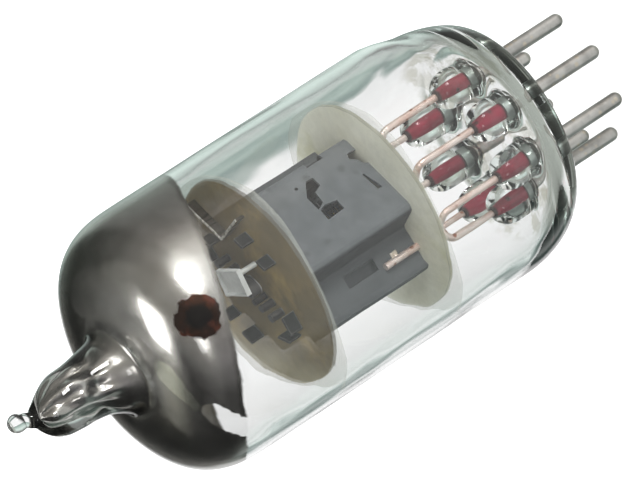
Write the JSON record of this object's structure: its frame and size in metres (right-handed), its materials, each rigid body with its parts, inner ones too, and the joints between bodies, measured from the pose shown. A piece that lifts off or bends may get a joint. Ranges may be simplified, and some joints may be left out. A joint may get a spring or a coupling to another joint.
{
  "type": "pentode tube",
  "caption": "Miniature glass pentode amplifier tube with stiff wire pins, grey anode between mica spacers and a mirrored dome with a sealed tip.",
  "frame": {"origin": "centre of the pin circle, at the flat underside of the glass base", "axes": "+Z along the bulb towards the sealed tip, -Y towards the anode's front face; the pins point along -Z"},
  "size_m": [0.019, 0.019, 0.0494],
  "materials": {
    "bulb_glass": "clear, smooth, with a faint green tint",
    "stem_glass": "clear pressed glass, slightly green",
    "getter_film": "silvery grey metal film, brownish where it thins out",
    "pin_metal": "dull grey nickel alloy wire, slightly spotted",
    "seal_metal": "copper-clad wire, dark red where it is sealed in the glass",
    "lead_metal": "bare pinkish copper-coloured wire",
    "mica": "thin mica sheet with a sprayed grey-cream coat inside its edge",
    "anode_sheet": "matt grey carbon-coated nickel sheet",
    "grid_wire": "fine plain metal wire",
    "control_wire": "fine gold-plated wire",
    "cathode_coat": "matt white oxide on a nickel sleeve",
    "heater_coat": "matt white alumina on tungsten wire",
    "getter_metal": "bright nickel strip"
  },
  "bodies": {
    "root": {"glass_bulb": "bulb_glass", "button_stem": "stem_glass", "getter_mirror": "getter_film", "pin_1": "pin_metal", "pin_2": "pin_metal", "pin_3": "pin_metal", "pin_4": "pin_metal", "pin_5": "pin_metal", "pin_6": "pin_metal", "pin_7": "pin_metal", "seal_wire_1": "seal_metal", "seal_wire_2": "seal_metal", "seal_wire_3": "seal_metal", "seal_wire_4": "seal_metal", "seal_wire_5": "seal_metal", "seal_wire_6": "seal_metal", "seal_wire_7": "seal_metal", "lead_1": "lead_metal", "lead_2": "lead_metal", "lead_3": "lead_metal", "lead_4": "lead_metal", "lead_5": "lead_metal", "lead_6": "lead_metal", "lead_7": "lead_metal", "lower_mica": "mica", "upper_mica": "mica", "anode_front": "anode_sheet", "anode_rear": "anode_sheet", "suppressor_grid": "grid_wire", "screen_grid": "grid_wire", "control_grid": "control_wire", "cathode_sleeve": "cathode_coat", "heater": "heater_coat", "getter_pan": "getter_metal", "getter_post": "getter_metal", "getter_strap": "getter_metal"}
  },
  "joints": []
}
